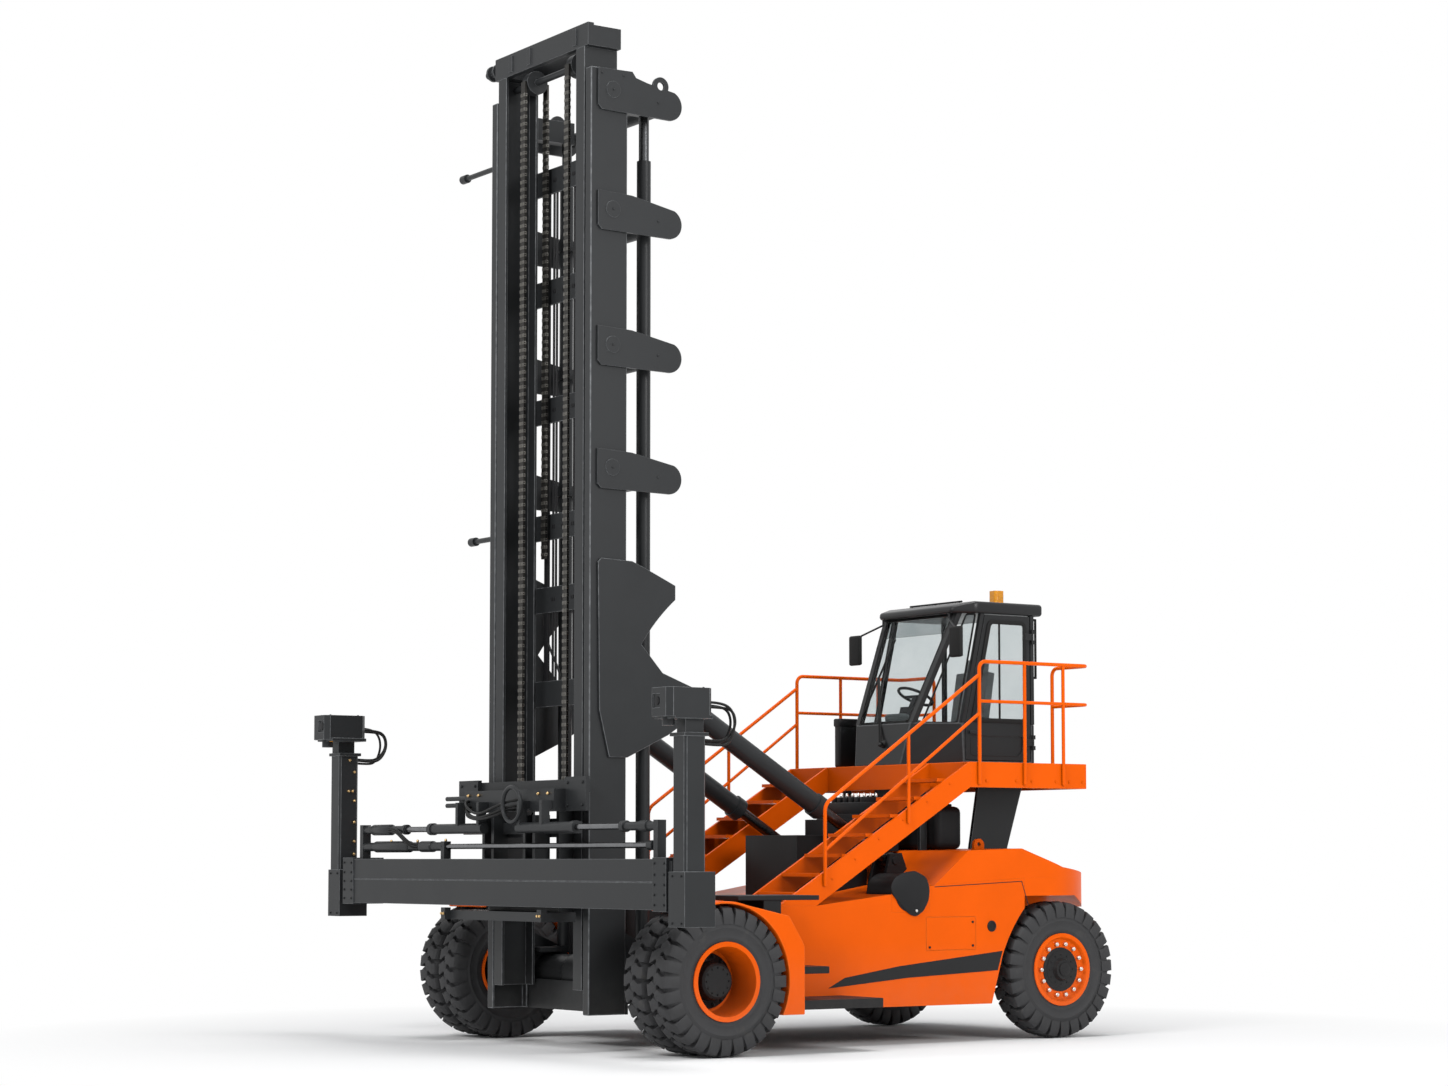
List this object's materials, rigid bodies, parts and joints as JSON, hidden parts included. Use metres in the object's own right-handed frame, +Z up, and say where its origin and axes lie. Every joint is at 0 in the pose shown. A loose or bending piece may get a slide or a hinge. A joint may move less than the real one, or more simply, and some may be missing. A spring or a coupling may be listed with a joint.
{
  "type": "empty container handler",
  "caption": "Tall two-stage mast lift truck with a telescoping side spreader, raised cab, twin drive wheels and steered rear wheels.",
  "frame": {"origin": "on the ground, at the middle of the overall length and width", "axes": "+Z up; the machine faces -Y; +X is its left side"},
  "size_m": [6.14, 6.08, 8.87],
  "materials": {
    "orange_paint": "gloss",
    "dark_paint": "satin",
    "black_paint": "satin",
    "rubber": "matt",
    "rods": "polished",
    "chain": "oiled",
    "glazing": "clear",
    "trim": "matt",
    "amber": "gloss"
  },
  "bodies": {
    "chassis": {"chassis_frame": "dark_paint", "side_tanks": "orange_paint", "front_fenders": "orange_paint", "counterweight": "orange_paint", "engine_hood": "orange_paint", "access_steps": "black_paint", "deck_gear": "black_paint", "air_cleaner": "black_paint", "stairs": "orange_paint", "handrails": "orange_paint", "platform": "orange_paint", "cab_pillars": "dark_paint", "cab_tub": "dark_paint", "cab_posts": "dark_paint", "cab_roof": "dark_paint", "cab_panes": "glazing", "cab_interior": "trim", "cab_seat": "trim", "beacon": "amber", "mirrors": "black_paint", "drive_axle": "dark_paint", "steer_axle": "dark_paint"},
    "front_wheels_left": {"front_tyres_left": "rubber", "front_rim_left": "orange_paint", "front_hub_left": "black_paint"},
    "steer_knuckle_left": {"knuckle_left": "dark_paint"},
    "rear_wheel_left": {"rear_tyre_left": "rubber", "rear_rim_left": "orange_paint", "rear_hub_left": "black_paint"},
    "front_wheels_right": {"front_tyres_right": "rubber", "front_rim_right": "orange_paint", "front_hub_right": "black_paint"},
    "steer_knuckle_right": {"knuckle_right": "dark_paint"},
    "rear_wheel_right": {"rear_tyre_right": "rubber", "rear_rim_right": "orange_paint", "rear_hub_right": "black_paint"},
    "mast": {"outer_rails": "dark_paint", "mast_foot": "dark_paint", "mast_plates": "dark_paint", "mast_tubes": "dark_paint", "tilt_plates": "dark_paint", "lift_barrels": "dark_paint"},
    "tilt_cylinders": {"tilt_barrels": "dark_paint"},
    "tilt_pistons": {"tilt_rods": "rods"},
    "inner_mast": {"inner_rails": "dark_paint", "inner_crossbars": "dark_paint", "inner_head": "dark_paint", "lift_rods": "rods", "lift_chains": "chain"},
    "carriage": {"carriage": "dark_paint"},
    "spreader": {"spreader_beam": "dark_paint", "spreader_hooks": "dark_paint", "shift_rods": "rods"},
    "leg_left": {"leg_slide_left": "dark_paint", "leg_left": "dark_paint"},
    "leg_right": {"leg_slide_right": "dark_paint", "leg_right": "dark_paint"},
    "door": {"cab_door": "dark_paint", "door_pane": "glazing"}
  },
  "joints": [
    {"name": "front_wheels_left_spin", "type": "hinge", "parent": "chassis", "child": "front_wheels_left", "pos_m": [1.751, -1.81, 0.625], "axis": [1, 0, 0], "continuous": true},
    {"name": "steer_left", "type": "hinge", "parent": "chassis", "child": "steer_knuckle_left", "pos_m": [1.13, 2.355, 0.625], "axis": [0, 0, 1], "range_deg": [-45, 45]},
    {"name": "rear_wheel_left_spin", "type": "hinge", "parent": "steer_knuckle_left", "child": "rear_wheel_left", "pos_m": [1.269, 2.355, 0.625], "axis": [1, 0, 0], "continuous": true},
    {"name": "front_wheels_right_spin", "type": "hinge", "parent": "chassis", "child": "front_wheels_right", "pos_m": [-1.751, -1.81, 0.625], "axis": [1, 0, 0], "continuous": true},
    {"name": "steer_right", "type": "hinge", "parent": "chassis", "child": "steer_knuckle_right", "pos_m": [-1.13, 2.355, 0.625], "axis": [0, 0, 1], "range_deg": [-45, 45]},
    {"name": "rear_wheel_right_spin", "type": "hinge", "parent": "steer_knuckle_right", "child": "rear_wheel_right", "pos_m": [-1.269, 2.355, 0.625], "axis": [1, 0, 0], "continuous": true},
    {"name": "mast_tilt", "type": "hinge", "parent": "chassis", "child": "mast", "pos_m": [0, -1.81, 0.625], "axis": [1, 0, 0], "range_deg": [-4, 3]},
    {"name": "tilt_cylinder_pivot", "type": "hinge", "parent": "mast", "child": "tilt_cylinders", "pos_m": [0, -1.31, 3], "axis": [1, 0, 0], "range_deg": [-3, 3]},
    {"name": "tilt_piston_slide", "type": "slide", "parent": "tilt_cylinders", "child": "tilt_pistons", "axis": [0, 0.8524, -0.5228], "range_m": [-0.17, 0.13]},
    {"name": "mast_lift", "type": "slide", "parent": "mast", "child": "inner_mast", "axis": [0, 0, 1], "range_m": [-0.19, 6.2]},
    {"name": "carriage_lift", "type": "slide", "parent": "inner_mast", "child": "carriage", "axis": [0, 0, 1], "range_m": [-0.19, 6.2]},
    {"name": "side_shift", "type": "slide", "parent": "carriage", "child": "spreader", "axis": [1, 0, 0], "range_m": [-0.4, 0.4]},
    {"name": "leg_left_extend", "type": "slide", "parent": "spreader", "child": "leg_left", "axis": [1, 0, 0], "range_m": [0, 3.05]},
    {"name": "leg_right_extend", "type": "slide", "parent": "spreader", "child": "leg_right", "axis": [-1, 0, 0], "range_m": [0, 3.05]},
    {"name": "cab_door_swing", "type": "hinge", "parent": "chassis", "child": "door", "pos_m": [0.694, 2.632, 3.2], "axis": [0, 0, 1], "range_deg": [0, 60]}
  ],
  "couplings": [
    {"joint": "steer_right", "follows": "steer_left", "ratio": 1},
    {"joint": "tilt_cylinder_pivot", "follows": "mast_tilt", "ratio": -0.69104},
    {"joint": "tilt_piston_slide", "follows": "mast_tilt", "m_per_rad": 2.286},
    {"joint": "carriage_lift", "follows": "mast_lift", "ratio": 1},
    {"joint": "leg_right_extend", "follows": "leg_left_extend", "ratio": 1}
  ]
}
